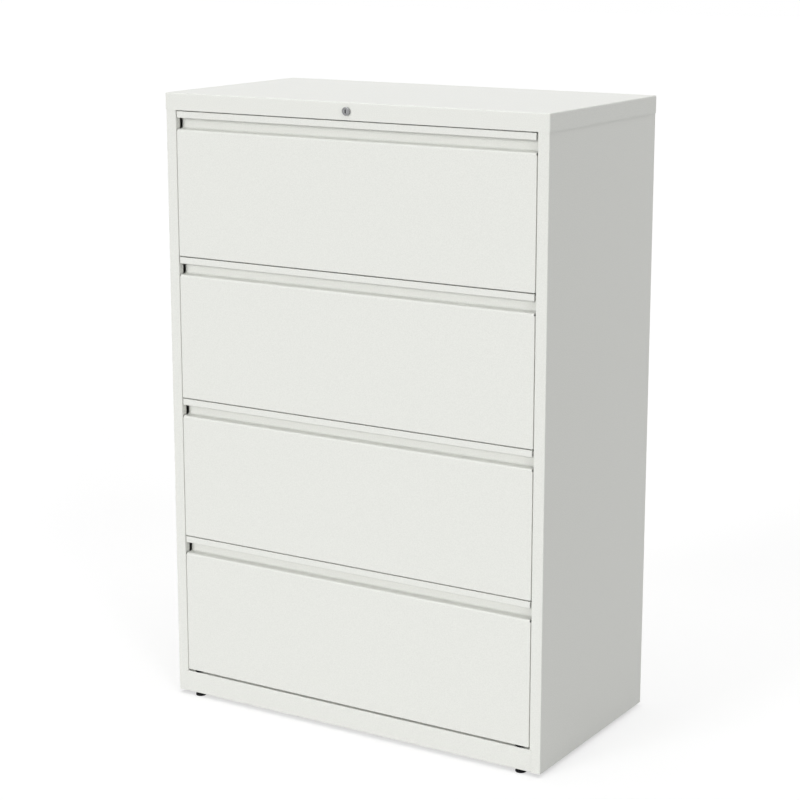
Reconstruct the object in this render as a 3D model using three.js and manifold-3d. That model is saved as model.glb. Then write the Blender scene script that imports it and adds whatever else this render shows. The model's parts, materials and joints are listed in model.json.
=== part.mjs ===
// A four-drawer lateral filing cabinet of folded steel sheet, in millimetres.
// +X is the cabinet's right as seen from the front, +Y is to the back and +Z is up.
// The origin is on the floor, under the middle of the top cover.
import * as THREE from 'three';
import { mergeVertices } from 'three/addons/utils/BufferGeometryUtils.js';
import Module from 'manifold-3d';

const wasm = await Module();
wasm.setup();

// Case
const COVER_WIDTH = 914.4;
const COVER_DEPTH = 473;
const CASE_HEIGHT = 1329; // bottom edge of the case to the top of the cover
const CASE_SHEET = 1;
const CASE_BEND = 1.2; // inside radius of the case's bends
const COVER_SKIRT = 36.4;
const COVER_EDGE = 1.8; // outside radius of the cover's top edges
const COVER_CORNER = 3.5; // outside radius of its upright corners
const COVER_HEM = 12; // inward return under the front skirt
const POST_WIDTH = 25.4;
const POST_RETURN = 14;
const REAR_FLANGE = 22;
const BASE_RAIL_HEIGHT = 47.5;
const BASE_RAIL_DEPTH = 36;
const BASE_RAIL_LAP = 4.6; // how far the front rail runs into each post

// Clearances
const SEAT_GAP = 0.3; // between pieces that are fastened together
const RUN_GAP = 0.4; // between pieces that slide or turn on each other
const DRAWER_GAP = 2.2; // between drawer fronts, and under the cover
const BASE_GAP = 4.5; // under the lowest drawer front
const SIDE_GAP = 1.5; // between a drawer front and a post

// Uprights that carry the slides
const UPRIGHT_WIDTH = 40;
const UPRIGHT_SETBACK = 0.5; // behind the edge of the drawer opening
const UPRIGHT_FRONT = 60; // case front to the front upright
const UPRIGHT_REAR = 45; // back panel to the rear upright
const UPRIGHT_SHEET = 1.2;
const SLOT_WIDTH = 6;
const SLOT_HEIGHT = 22;
const SLOT_PITCH = 32;
const SLOTS_PER_DRAWER = 2;

// Drawers
const DRAWER_COUNT = 4;
const DRAWER_SHEET = 0.9;
const DRAWER_BEND = 1.1; // inside radius of the drawers' bends
const PULL_LIP = 14; // height of the strip above the pull
const PULL_MOUTH = 24; // height of the pull's open front
const PULL_DEPTH = 19.5; // front plane to the pull's back wall
const PULL_COVE = 8; // radius where the back wall meets the ledge
const LEDGE_RISE = 1.5; // how far the ledge climbs to the back
const HEM_HEIGHT = 6; // folded edge behind the strip
const HEM_GAP = 2;
const HEM_BEND = 0.9;
const FRONT_FLANGE = 22; // rear flange of a drawer front, which lies on the tray
const FRONT_LAP = 11; // how far a folded side edge runs into the face
const TRAY_WALL = 245;
const TRAY_LIFT = 6; // bottom edge of the front to the underside of the tray
const TRAY_FLANGE = 6; // outward top flange of the side walls
const TRAY_REAR_ROOM = 24; // tray to back panel
const HANG_EDGE = 10; // how far folder edges stand above the side flanges
const HANG_SPACING = 311.2; // front wall to hang rail, for letter folders
const HANG_BAR = 2;
const HANG_BAR_DROP = 20; // below the side flanges
const HANG_HOOK = 3; // width and drop of the hooks over the flanges

// Slides
const SLIDE_HEIGHT = 45.7;
const SLIDE_WIDTH = 12.7;
const SLIDE_SHEET = 1.2;
const SLIDE_BEND = 0.5;
const SLIDE_ROLL = 1.8; // gap inside the rolled edge of the drawer rail
const SLIDE_RISE = 56; // underside of the tray to the middle of the slide
const SLIDE_FRONT_ROOM = 2; // tray's front to the slide
const SLIDE_REAR_ROOM = 15; // slide to the tray's back

// Levelling glides
const GLIDE_DROP = 8; // floor to the case's bottom edge
const GLIDE_FOOT = 23;
const GLIDE_FOOT_HEIGHT = 5;
const GLIDE_SHOULDER = 2; // height of the foot's sloping top
const GLIDE_COLLAR = 2; // ring of flat round the stem
const GLIDE_CHAMFER = 1;
const GLIDE_STEM = 8;
const GLIDE_TOP = 23;
const GLIDE_TOP_ROOM = 1.2; // glide top to the lowest drawer front
const GLIDE_INSET_X = 25; // drawer opening's edge to the glide's axis
const GLIDE_INSET_Y = 12.5; // rail's face to the glide's axis

// Lock
const LOCK_BEZEL = 17.5;
const LOCK_PROUD = 6;
const LOCK_BARREL = 15;
const LOCK_BARREL_LENGTH = 24;
const LOCK_WALL = 1.7; // between barrel and plug
const LOCK_CHAMFER = 0.8;
const LOCK_NUT = 22; // across flats
const LOCK_NUT_SIDES = 6;
const LOCK_NUT_HEIGHT = 5;
const PLUG_RECESS = 0.6;
const PLUG_OVERHANG = 4; // behind the barrel
const KEYWAY_WIDTH = 2;
const KEYWAY_HEIGHT = 8;
const KEYWAY_DEPTH = 14;
const TAIL_WIDTH = 3;
const TAIL_HEIGHT = 9;
const TAIL_LENGTH = 10;
const SHAFT = 8;
const SHAFT_SLEEVE = 15;
const SHAFT_SLEEVE_LENGTH = 14;
const CRANK_RADIUS = 10;
const CRANK_WIDTH = 9;
const CRANK_CORNER = 4;
const CRANK_SHEET = 3;
const CRANK_PIN = 4;
const CRANK_PLAY = 0.8; // pin to slot, above and below
const CRANK_ANGLE = Math.PI / 4; // below the level at rest, above it when locked
const BRACKET_WIDTH = 40;
const BRACKET_FLANGE = 20;
const BRACKET_FROM_BACK = 40;
const LOCK_BAR_WIDTH = 40;
const LOCK_BAR_SHEET = 2;
const LOCK_BAR_ROOM = 14; // guide's top to the shaft
const GUIDE_SHEET = 1.2;
const GUIDE_LIP = 6;
const CATCH_RISE = 150; // drawer front's bottom edge to the catch
const CATCH_STANDOFF = 3; // tray to peg
const CATCH_PEG = 4;
const CATCH_WIDTH = 16;
const CATCH_EDGE = 4; // sheet left round the catch's slot
const CATCH_PLAY = 0.6; // peg to slot
const CATCH_ROOM = 1.5; // peg to catch at rest

// Facets
const BEND_STEPS = 3;
const SLIDE_STEPS = 2;
const ROUND_STEPS = 20;
const WELD = 1e-4; // vertices closer than this are one
const PAST = 1; // how far a cutter runs past what it cuts

// Places that follow from the sizes
const coverHalf = COVER_WIDTH / 2;
const coverFront = -COVER_DEPTH / 2;
const coverBack = COVER_DEPTH / 2;
const coverTop = GLIDE_DROP + CASE_HEIGHT;
const coverStep = CASE_SHEET + SEAT_GAP;
const caseHalf = coverHalf - coverStep;
const caseFront = coverFront + coverStep;
const caseBack = coverBack - coverStep;
const caseBottom = GLIDE_DROP;
const caseTop = coverTop - COVER_EDGE;
const sideInner = caseHalf - CASE_SHEET;
const openingHalf = caseHalf - POST_WIDTH;
const backOuter = caseBack - CASE_SHEET - SEAT_GAP;
const backInner = backOuter - CASE_SHEET;
const baseTop = caseBottom + BASE_RAIL_HEIGHT;
const skirtBottom = coverTop - COVER_SKIRT;
const drawersBottom = baseTop + BASE_GAP;
const drawersHeight = skirtBottom - drawersBottom;
const drawerPitch = drawersHeight / DRAWER_COUNT;
const drawerHeight = drawerPitch - DRAWER_GAP;
const frontHalf = openingHalf - SIDE_GAP;
const frontEdge = DRAWER_BEND + DRAWER_SHEET;
const frontBack = caseFront + PULL_DEPTH + DRAWER_SHEET;
const uprightFace = openingHalf + UPRIGHT_SETBACK;
const slideFace = uprightFace - SEAT_GAP;
const trayHalf = slideFace - SLIDE_WIDTH - SEAT_GAP;
const trayFront = frontBack + SEAT_GAP;
const trayBack = backInner - TRAY_REAR_ROOM;
const slideFront = trayFront + SLIDE_FRONT_ROOM;
const slideBack = trayBack - SLIDE_REAR_ROOM;
const lockHeight = coverTop - COVER_SKIRT / 2;
const guideBack = backInner - SEAT_GAP;
const barBack = guideBack - GUIDE_SHEET - RUN_GAP;
const barFront = barBack - LOCK_BAR_SHEET;
const lockLift = 2 * CRANK_RADIUS * Math.sin(CRANK_ANGLE);
const pegFront = trayBack + CATCH_STANDOFF;
const pegBack = pegFront + CATCH_PEG;

// Materials
const offWhite = () => new THREE.MeshStandardMaterial({ color: 0xe8e9e4, roughness: 0.5 });
const zincPlate = () => new THREE.MeshStandardMaterial({ color: 0xb8bcc0, roughness: 0.35, metalness: 1 });
const blackPlastic = () => new THREE.MeshStandardMaterial({ color: 0x141414, roughness: 0.45 });
const lockChrome = () => new THREE.MeshStandardMaterial({ color: 0xc9cbcd, roughness: 0.2, metalness: 1 });

// Solids from three.js geometry, and back

function solidOf(geometry) {
  const bare = geometry.clone();
  bare.deleteAttribute('normal');
  bare.deleteAttribute('uv');
  const welded = mergeVertices(bare, WELD);
  const corners = welded.index.array;
  const triangles = [];
  for (let i = 0; i < corners.length; i += 3) {
    const [a, b, c] = corners.slice(i, i + 3);
    if (a !== b && b !== c && c !== a) triangles.push(a, b, c);
  }
  return new wasm.Manifold(new wasm.Mesh({
    numProp: 3,
    vertProperties: new Float32Array(welded.attributes.position.array),
    triVerts: new Uint32Array(triangles),
  }));
}

function geometryOf(solid) {
  const mesh = solid.getMesh();
  const geometry = new THREE.BufferGeometry();
  geometry.setAttribute('position', new THREE.BufferAttribute(new Float32Array(mesh.vertProperties), 3));
  geometry.setIndex(new THREE.BufferAttribute(new Uint32Array(mesh.triVerts), 1));
  geometry.computeVertexNormals();
  return geometry;
}

// Outlines

// The section of a folded sheet. The skin is one face's line of points, [u, v, inside bend radius],
// and the sheet lies to the left of it.
function foldedSheet(skin, thickness, bend, steps = BEND_STEPS) {
  const points = skin.map(([u, v]) => new THREE.Vector2(u, v));
  const leftOf = (d) => new THREE.Vector2(-d.y, d.x);
  const near = [points[0].clone()];
  const far = [];
  for (let i = 1; i < points.length; i++) {
    const along = points[i].clone().sub(points[i - 1]).normalize();
    if (i === 1) far.push(points[0].clone().addScaledVector(leftOf(along), thickness));
    if (i === points.length - 1) {
      near.push(points[i].clone());
      far.push(points[i].clone().addScaledVector(leftOf(along), thickness));
      break;
    }
    const next = points[i + 1].clone().sub(points[i]).normalize();
    const turn = Math.atan2(along.cross(next), along.dot(next));
    const side = Math.sign(turn);
    const inside = skin[i][2] ?? bend;
    const nearRadius = side > 0 ? inside + thickness : inside;
    const farRadius = side > 0 ? inside : inside + thickness;
    const reach = nearRadius * Math.tan(Math.abs(turn) / 2);
    const centre = points[i].clone().addScaledVector(along, -reach)
      .addScaledVector(leftOf(along), side * nearRadius);
    const from = leftOf(along).multiplyScalar(-side).angle();
    for (const [face, radius] of [[near, nearRadius], [far, farRadius]]) {
      const arc = new THREE.EllipseCurve(centre.x, centre.y, radius, radius, from, from + turn, turn < 0);
      face.push(...arc.getPoints(steps));
    }
  }
  return new THREE.Shape([...near, ...far.reverse()]);
}

function roundedRectangle(left, bottom, right, top, radius, steps = BEND_STEPS) {
  const points = [];
  const corners = [[right, top], [left, top], [left, bottom], [right, bottom]];
  corners.forEach(([u, v], i) => {
    const cu = u === right ? right - radius : left + radius;
    const cv = v === top ? top - radius : bottom + radius;
    const from = i * Math.PI / 2;
    const arc = new THREE.EllipseCurve(cu, cv, radius, radius, from, from + Math.PI / 2);
    points.push(...arc.getPoints(steps));
  });
  return new THREE.Shape(points);
}

const rectangle = (left, bottom, right, top) => new THREE.Shape([
  new THREE.Vector2(left, bottom), new THREE.Vector2(right, bottom),
  new THREE.Vector2(right, top), new THREE.Vector2(left, top),
]);

const mirrored = (skin) => skin.map(([u, ...rest]) => [-u, ...rest]).reverse();

// Extrusions along the three axes

const axes = {
  x: new THREE.Vector3(1, 0, 0), y: new THREE.Vector3(0, 1, 0), z: new THREE.Vector3(0, 0, 1),
};

function extruded(shape, depth) {
  return new THREE.ExtrudeGeometry(shape, { depth, bevelEnabled: false });
}

// The shape is drawn in Y and Z.
function alongX(shape, from, to) {
  const turn = new THREE.Matrix4().makeBasis(axes.y, axes.z, axes.x);
  return solidOf(extruded(shape, to - from).applyMatrix4(turn).translate(from, 0, 0));
}

// The shape is drawn in X and Z.
function alongY(shape, from, to) {
  const turn = new THREE.Matrix4().makeBasis(axes.x, axes.z, axes.y.clone().negate());
  return solidOf(extruded(shape, to - from).applyMatrix4(turn).translate(0, to, 0));
}

// The shape is drawn in X and Y.
function alongZ(shape, from, to) {
  return solidOf(extruded(shape, to - from).translate(0, 0, from));
}

function block(x0, y0, z0, x1, y1, z1) {
  const box = new THREE.BoxGeometry(x1 - x0, y1 - y0, z1 - z0);
  return solidOf(box.translate((x0 + x1) / 2, (y0 + y1) / 2, (z0 + z1) / 2));
}

// A turned piece. The profile is [radius, height] from the bottom up.
function turned(profile) {
  return new THREE.LatheGeometry(profile.map(([r, h]) => new THREE.Vector2(r, h)), ROUND_STEPS);
}

const turnedOnY = (profile, x, z) => solidOf(turned(profile).translate(x, 0, z));
const turnedOnZ = (profile, x, y) => solidOf(turned(profile).rotateX(Math.PI / 2).translate(x, y, 0));

const rod = (radius, from, to) => [[0, from], [radius, from], [radius, to], [0, to]];

// A block with rounded upright corners and a rounded top edge
function roundTopped(halfWidth, halfDepth, bottom, top, corner, edge) {
  const shape = roundedRectangle(-halfWidth, -halfDepth, halfWidth, halfDepth, corner);
  const geometry = new THREE.ExtrudeGeometry(shape, {
    depth: top - bottom,
    bevelThickness: edge,
    bevelSize: edge,
    bevelOffset: -edge,
    bevelSegments: BEND_STEPS,
  });
  const whole = solidOf(geometry.translate(0, 0, bottom - edge));
  const pastX = halfWidth + PAST;
  const pastY = halfDepth + PAST;
  return whole.subtract(block(-pastX, -pastY, bottom - 2 * edge - PAST, pastX, pastY, bottom));
}

// Case

function sidePanel(isLeft) {
  const skin = [
    [openingHalf, caseFront + POST_RETURN],
    [openingHalf, caseFront],
    [caseHalf, caseFront],
    [caseHalf, caseBack],
    [caseHalf - REAR_FLANGE, caseBack],
  ];
  const section = foldedSheet(isLeft ? mirrored(skin) : skin, CASE_SHEET, CASE_BEND);
  const near = openingHalf - PAST;
  const far = openingHalf + BASE_RAIL_LAP;
  const notch = block(
    isLeft ? -far : near, caseFront - PAST, caseBottom - PAST,
    isLeft ? -near : far, caseFront + POST_RETURN + PAST, baseTop + SEAT_GAP,
  );
  return alongZ(section, caseBottom, caseTop).subtract(notch);
}

function backPanel() {
  const half = sideInner - CASE_BEND;
  return block(-half, backInner, caseBottom, half, backOuter, caseTop);
}

function topCover() {
  const outer = roundTopped(coverHalf, COVER_DEPTH / 2, skirtBottom, coverTop, COVER_CORNER, COVER_EDGE);
  const inner = roundTopped(
    coverHalf - CASE_SHEET, COVER_DEPTH / 2 - CASE_SHEET, skirtBottom - PAST,
    coverTop - CASE_SHEET, COVER_CORNER - CASE_SHEET, COVER_EDGE - CASE_SHEET,
  );
  const hemHalf = openingHalf - SEAT_GAP;
  const hem = block(
    -hemHalf, coverFront + CASE_SHEET / 2, skirtBottom,
    hemHalf, coverFront + COVER_HEM, skirtBottom + CASE_SHEET,
  );
  const hole = rod(LOCK_BARREL / 2 + SEAT_GAP, coverFront - PAST, coverFront + CASE_SHEET + PAST);
  return outer.subtract(inner).add(hem).subtract(turnedOnY(hole, 0, lockHeight));
}

const glideX = openingHalf - GLIDE_INSET_X;
const glideFrontY = caseFront + GLIDE_INSET_Y;
const glideRearY = backInner - SEAT_GAP - GLIDE_INSET_Y;

function stemHoles(y) {
  const hole = rod(GLIDE_STEM / 2 + SEAT_GAP, caseBottom - PAST, baseTop + PAST);
  return turnedOnZ(hole, -glideX, y).add(turnedOnZ(hole, glideX, y));
}

function baseFrontRail() {
  const skin = [
    [caseFront + BASE_RAIL_DEPTH, baseTop],
    [caseFront, baseTop],
    [caseFront, caseBottom],
    [caseFront + BASE_RAIL_DEPTH, caseBottom],
  ];
  const half = openingHalf + BASE_RAIL_LAP - SEAT_GAP;
  return alongX(foldedSheet(skin, CASE_SHEET, CASE_BEND), -half, half).subtract(stemHoles(glideFrontY));
}

function baseRearRail() {
  const face = backInner - SEAT_GAP;
  const skin = [
    [face - BASE_RAIL_DEPTH, caseBottom],
    [face, caseBottom],
    [face, baseTop],
    [face - BASE_RAIL_DEPTH, baseTop],
  ];
  const half = sideInner - SEAT_GAP;
  return alongX(foldedSheet(skin, CASE_SHEET, CASE_BEND), -half, half).subtract(stemHoles(glideRearY));
}

// A channel from the base to the cover, open towards the side panel, with slots at each drawer
function upright(isLeft, near) {
  const far = near + UPRIGHT_WIDTH;
  const wall = sideInner - SEAT_GAP;
  const skin = [[wall, far], [uprightFace, far], [uprightFace, near], [wall, near]];
  const section = foldedSheet(isLeft ? mirrored(skin) : skin, UPRIGHT_SHEET, CASE_BEND);
  let solid = alongZ(section, caseBottom, caseTop);
  const middle = (near + far) / 2;
  const inner = uprightFace - PAST;
  const outer = uprightFace + UPRIGHT_SHEET + PAST;
  for (let drawer = 0; drawer < DRAWER_COUNT; drawer++) {
    for (let slot = 0; slot < SLOTS_PER_DRAWER; slot++) {
      const bottom = drawerBottom(drawer) + TRAY_LIFT + SLIDE_RISE + SLIDE_HEIGHT / 2
        + SLOT_WIDTH + slot * SLOT_PITCH;
      solid = solid.subtract(block(
        isLeft ? -outer : inner, middle - SLOT_WIDTH / 2, bottom,
        isLeft ? -inner : outer, middle + SLOT_WIDTH / 2, bottom + SLOT_HEIGHT,
      ));
    }
  }
  return solid;
}

function levellingGlide(x, y) {
  const foot = GLIDE_FOOT / 2;
  const stem = GLIDE_STEM / 2;
  const seat = baseTop + SEAT_GAP;
  const top = drawersBottom - GLIDE_TOP_ROOM;
  return turnedOnZ([
    [0, 0], [foot - GLIDE_CHAMFER, 0], [foot, GLIDE_CHAMFER],
    [foot, GLIDE_FOOT_HEIGHT - GLIDE_SHOULDER], [stem + GLIDE_COLLAR, GLIDE_FOOT_HEIGHT],
    [stem, GLIDE_FOOT_HEIGHT], [stem, seat], [GLIDE_TOP / 2, seat],
    [GLIDE_TOP / 2, top - GLIDE_CHAMFER], [GLIDE_TOP / 2 - GLIDE_CHAMFER, top], [0, top],
  ], x, y);
}

// Drawers, counted from the top

function drawerBottom(drawer) {
  return drawersBottom + (DRAWER_COUNT - 1 - drawer) * drawerPitch;
}

// One folded sheet: hem, strip, top, back of the pull, ledge, face, bottom and rear flange
function drawerFront(drawer) {
  const bottom = drawerBottom(drawer);
  const top = bottom + drawerHeight;
  const stripBottom = top - PULL_LIP;
  const faceTop = stripBottom - PULL_MOUTH;
  const stripBack = caseFront + DRAWER_SHEET;
  const skin = [
    [stripBack + HEM_GAP, stripBottom + DRAWER_SHEET + HEM_HEIGHT],
    [stripBack + HEM_GAP, stripBottom + DRAWER_SHEET, HEM_BEND],
    [stripBack, stripBottom + DRAWER_SHEET, HEM_BEND],
    [stripBack, top - DRAWER_SHEET],
    [caseFront + PULL_DEPTH, top - DRAWER_SHEET],
    [caseFront + PULL_DEPTH, faceTop + LEDGE_RISE, PULL_COVE],
    [caseFront, faceTop],
    [caseFront, bottom],
    [frontBack, bottom],
    [frontBack, bottom + FRONT_FLANGE],
  ];
  const pullHalf = frontHalf - frontEdge;
  const body = alongX(foldedSheet(skin, DRAWER_SHEET, DRAWER_BEND), -pullHalf, pullHalf);
  const rightEdge = [
    [frontHalf - FRONT_LAP, caseFront],
    [frontHalf, caseFront],
    [frontHalf, frontBack],
    [frontHalf - FRONT_FLANGE, frontBack],
  ];
  const sideEdge = (skin) => alongZ(
    foldedSheet(skin, DRAWER_SHEET, DRAWER_BEND), bottom + frontEdge, faceTop - frontEdge,
  );
  return body.add(sideEdge(rightEdge)).add(sideEdge(mirrored(rightEdge)));
}

const trayBottom = (drawer) => drawerBottom(drawer) + TRAY_LIFT;
const trayFlangeTop = (drawer) => trayBottom(drawer) + TRAY_WALL;

// A folded trough closed by a front and a back wall, with a slotted catch for the lock at the back
function drawerTray(drawer) {
  const bottom = trayBottom(drawer);
  const flange = trayFlangeTop(drawer) - DRAWER_SHEET;
  const skin = [
    [-trayHalf - TRAY_FLANGE, flange],
    [-trayHalf, flange],
    [-trayHalf, bottom],
    [trayHalf, bottom],
    [trayHalf, flange],
    [trayHalf + TRAY_FLANGE, flange],
  ];
  const trough = alongY(foldedSheet(skin, DRAWER_SHEET, DRAWER_BEND), trayFront, trayBack);
  const inset = DRAWER_SHEET / 2;
  const wall = roundedRectangle(
    -trayHalf + inset, bottom + inset,
    trayHalf - inset, trayFlangeTop(drawer) + HANG_EDGE, DRAWER_BEND + inset,
  );
  const frontWall = alongY(wall, trayFront, trayFront + DRAWER_SHEET);
  const backWall = alongY(wall, trayBack - DRAWER_SHEET, trayBack);
  return trough.add(frontWall).add(backWall).add(lockCatch(drawer));
}

function lockCatch(drawer) {
  const level = drawerBottom(drawer) + CATCH_RISE;
  const half = CATCH_WIDTH / 2 + CATCH_PLAY;
  const tab = rectangle(
    -half - CATCH_EDGE, trayBack - DRAWER_SHEET / 2,
    half + CATCH_EDGE, pegBack + CATCH_PLAY + CATCH_EDGE,
  );
  tab.holes.push(rectangle(-half, pegFront - CATCH_PLAY, half, pegBack + CATCH_PLAY));
  return alongZ(tab, level, level + DRAWER_SHEET);
}

// A flat bar that hooks over the side flanges of the tray
function hangRail(drawer) {
  const flange = trayFlangeTop(drawer);
  const top = flange + HANG_EDGE;
  const inner = trayHalf - DRAWER_SHEET - SEAT_GAP;
  const hookInner = trayHalf + TRAY_FLANGE + SEAT_GAP;
  const hookOuter = hookInner + HANG_HOOK;
  const seat = flange + SEAT_GAP;
  const half = [
    [hookOuter, top], [hookOuter, flange - HANG_HOOK], [hookInner, flange - HANG_HOOK], [hookInner, seat],
    [inner, seat], [inner, flange - HANG_BAR_DROP],
  ];
  const outline = [...mirrored(half), ...half].map(([u, v]) => new THREE.Vector2(u, v));
  const near = trayFront + HANG_SPACING;
  return alongY(new THREE.Shape(outline), near, near + HANG_BAR);
}

// Slides: an outer channel, a middle channel trapped by its lips and a hat section trapped in turn

const slideStep = SLIDE_SHEET + RUN_GAP;
const slideLip = slideStep + SLIDE_SHEET + SLIDE_ROLL - RUN_GAP;
const slideLipFace = SLIDE_WIDTH - slideStep;
const outerHalf = SLIDE_HEIGHT / 2;
const middleHalf = outerHalf - slideStep;
const rollHalf = middleHalf - slideStep - SLIDE_SHEET;
const neckHalf = rollHalf - SLIDE_ROLL;
const rollFace = 2 * slideStep + SLIDE_SHEET;
const rollEnd = slideLipFace - 2 * slideStep;

// u runs from the upright towards the drawer, v up from the middle of the slide
function lippedChannel(back, front, half) {
  return [
    [front, half - slideLip], [front, half], [back, half],
    [back, -half], [front, -half], [front, slideLip - half],
  ];
}

const slideSections = {
  cabinet_rail: lippedChannel(0, slideLipFace, outerHalf),
  middle_rail: lippedChannel(slideStep, slideLipFace - slideStep, middleHalf),
  drawer_rail: [
    [rollEnd, -rollHalf], [rollFace, -rollHalf], [rollFace, -neckHalf], [SLIDE_WIDTH, -neckHalf],
    [SLIDE_WIDTH, neckHalf], [rollFace, neckHalf], [rollFace, rollHalf], [rollEnd, rollHalf],
  ],
};

function slideMember(kind, isLeft, drawer) {
  const level = trayBottom(drawer) + SLIDE_RISE;
  const skin = slideSections[kind].map(([u, v]) => [u - slideFace, level + v]);
  const section = foldedSheet(isLeft ? skin : mirrored(skin), SLIDE_SHEET, SLIDE_BEND, SLIDE_STEPS);
  return alongY(section, slideFront, slideBack);
}

// Lock: the plug turns the shaft, whose crank lifts the bar behind the drawers

function lockHousing() {
  const barrel = LOCK_BARREL / 2;
  const bore = barrel - LOCK_WALL;
  const face = coverFront - LOCK_PROUD;
  const seat = coverFront - SEAT_GAP;
  const end = coverFront + LOCK_BARREL_LENGTH;
  return turnedOnY([
    [bore, face], [LOCK_BEZEL / 2 - LOCK_CHAMFER, face], [LOCK_BEZEL / 2, face + LOCK_CHAMFER],
    [LOCK_BEZEL / 2, seat], [barrel, seat], [barrel, end], [bore, end], [bore, face],
  ], 0, lockHeight);
}

function lockNut() {
  const points = [];
  const reach = LOCK_NUT / 2 / Math.cos(Math.PI / LOCK_NUT_SIDES);
  for (let side = 0; side < LOCK_NUT_SIDES; side++) {
    const angle = side * 2 * Math.PI / LOCK_NUT_SIDES;
    points.push(new THREE.Vector2(reach * Math.cos(angle), lockHeight + reach * Math.sin(angle)));
  }
  const near = coverFront + CASE_SHEET + SEAT_GAP;
  const bore = rod(LOCK_BARREL / 2 + SEAT_GAP, near - PAST, near + LOCK_NUT_HEIGHT + PAST);
  const hexagon = alongY(new THREE.Shape(points), near, near + LOCK_NUT_HEIGHT);
  return hexagon.subtract(turnedOnY(bore, 0, lockHeight));
}

const plugRadius = LOCK_BARREL / 2 - LOCK_WALL - SEAT_GAP;
const plugFace = coverFront - LOCK_PROUD + PLUG_RECESS;
const plugEnd = coverFront + LOCK_BARREL_LENGTH + PLUG_OVERHANG;

function lockPlug() {
  const body = turnedOnY(rod(plugRadius, plugFace, plugEnd), 0, lockHeight);
  const tail = block(
    -TAIL_WIDTH / 2, plugEnd - PAST, lockHeight - TAIL_HEIGHT / 2,
    TAIL_WIDTH / 2, plugEnd + TAIL_LENGTH, lockHeight + TAIL_HEIGHT / 2,
  );
  const keyway = block(
    -KEYWAY_WIDTH / 2, plugFace - PAST, lockHeight - KEYWAY_HEIGHT / 2,
    KEYWAY_WIDTH / 2, plugFace + KEYWAY_DEPTH, lockHeight + KEYWAY_HEIGHT / 2,
  );
  return body.add(tail).subtract(keyway);
}

// The rod from the plug's tail to the crank at the back
function lockShaft() {
  const near = plugEnd + SEAT_GAP;
  const crankBack = barFront - GUIDE_SHEET - 2 * RUN_GAP;
  const crankFront = crankBack - CRANK_SHEET;
  const rodAndSleeve = turnedOnY([
    [0, near], [SHAFT_SLEEVE / 2, near], [SHAFT_SLEEVE / 2, near + SHAFT_SLEEVE_LENGTH],
    [SHAFT / 2, near + SHAFT_SLEEVE_LENGTH], [SHAFT / 2, crankBack], [0, crankBack],
  ], 0, lockHeight);
  const socket = block(
    -TAIL_WIDTH / 2 - SEAT_GAP, near - PAST, lockHeight - SHAFT_SLEEVE,
    TAIL_WIDTH / 2 + SEAT_GAP, plugEnd + TAIL_LENGTH + SEAT_GAP, lockHeight + SHAFT_SLEEVE,
  );
  const crankHalf = CRANK_WIDTH / 2;
  const arm = extruded(
    roundedRectangle(-crankHalf, -crankHalf, CRANK_RADIUS + crankHalf, crankHalf, CRANK_CORNER),
    CRANK_SHEET,
  );
  arm.rotateX(Math.PI / 2).rotateY(Math.PI - CRANK_ANGLE).translate(0, crankBack, lockHeight);
  const pin = rod(CRANK_PIN / 2, crankFront, barBack - RUN_GAP / 2);
  const pinX = -CRANK_RADIUS * Math.cos(CRANK_ANGLE);
  const pinZ = lockHeight - CRANK_RADIUS * Math.sin(CRANK_ANGLE);
  return rodAndSleeve.subtract(socket).add(solidOf(arm)).add(turnedOnY(pin, pinX, pinZ));
}

// A folded hanger under the cover that carries the shaft's rear end
function shaftBracket() {
  const top = coverTop - CASE_SHEET - SEAT_GAP;
  const near = backInner - BRACKET_FROM_BACK;
  const skin = [
    [near, lockHeight - SHAFT], [near, top], [near - BRACKET_FLANGE, top],
  ];
  const hanger = alongX(foldedSheet(skin, UPRIGHT_SHEET, CASE_BEND), -BRACKET_WIDTH / 2, BRACKET_WIDTH / 2);
  const hole = rod(SHAFT / 2 + RUN_GAP, near - UPRIGHT_SHEET - PAST, near + PAST);
  return hanger.subtract(turnedOnY(hole, 0, lockHeight));
}

// A lipped channel on the back panel that the lock bar slides in
function lockBarGuide() {
  const half = LOCK_BAR_WIDTH / 2 + RUN_GAP + GUIDE_SHEET;
  const lipFace = barFront - RUN_GAP - GUIDE_SHEET;
  const skin = [
    [half - GUIDE_LIP, lipFace], [half, lipFace], [half, guideBack],
    [-half, guideBack], [-half, lipFace], [GUIDE_LIP - half, lipFace],
  ];
  const section = foldedSheet(skin, GUIDE_SHEET, SLIDE_BEND, SLIDE_STEPS);
  return alongZ(section, baseTop + SEAT_GAP, lockHeight - LOCK_BAR_ROOM);
}

// A flat bar with a slot for the crank's pin and a hooked peg under each drawer's catch
function lockBar() {
  const half = LOCK_BAR_WIDTH / 2;
  const pinX = -CRANK_RADIUS * Math.cos(CRANK_ANGLE);
  const pinZ = lockHeight - CRANK_RADIUS * Math.sin(CRANK_ANGLE);
  const slotHalf = CRANK_PIN / 2 + CRANK_PLAY;
  const hookBottom = (drawer) => drawerBottom(drawer) + CATCH_RISE - CATCH_ROOM - lockLift - CATCH_PEG;
  const bottom = hookBottom(DRAWER_COUNT - 1) - half;
  const top = pinZ + slotHalf + CATCH_EDGE;
  const strip = rectangle(-half, bottom, half, top);
  strip.holes.push(rectangle(-CRANK_RADIUS - slotHalf, pinZ - slotHalf, pinX + slotHalf, pinZ + slotHalf));
  let solid = alongY(strip, barFront, barBack);
  for (let drawer = 0; drawer < DRAWER_COUNT; drawer++) {
    const low = hookBottom(drawer);
    const armTop = low + CATCH_PEG;
    const arm = block(-CATCH_WIDTH / 2, pegFront, low, CATCH_WIDTH / 2, barBack, armTop);
    const peg = block(-CATCH_WIDTH / 2, pegFront, low, CATCH_WIDTH / 2, pegBack, armTop + lockLift);
    solid = solid.add(arm).add(peg);
  }
  return solid;
}

// Assembly

const cabinet = new THREE.Group();

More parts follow.
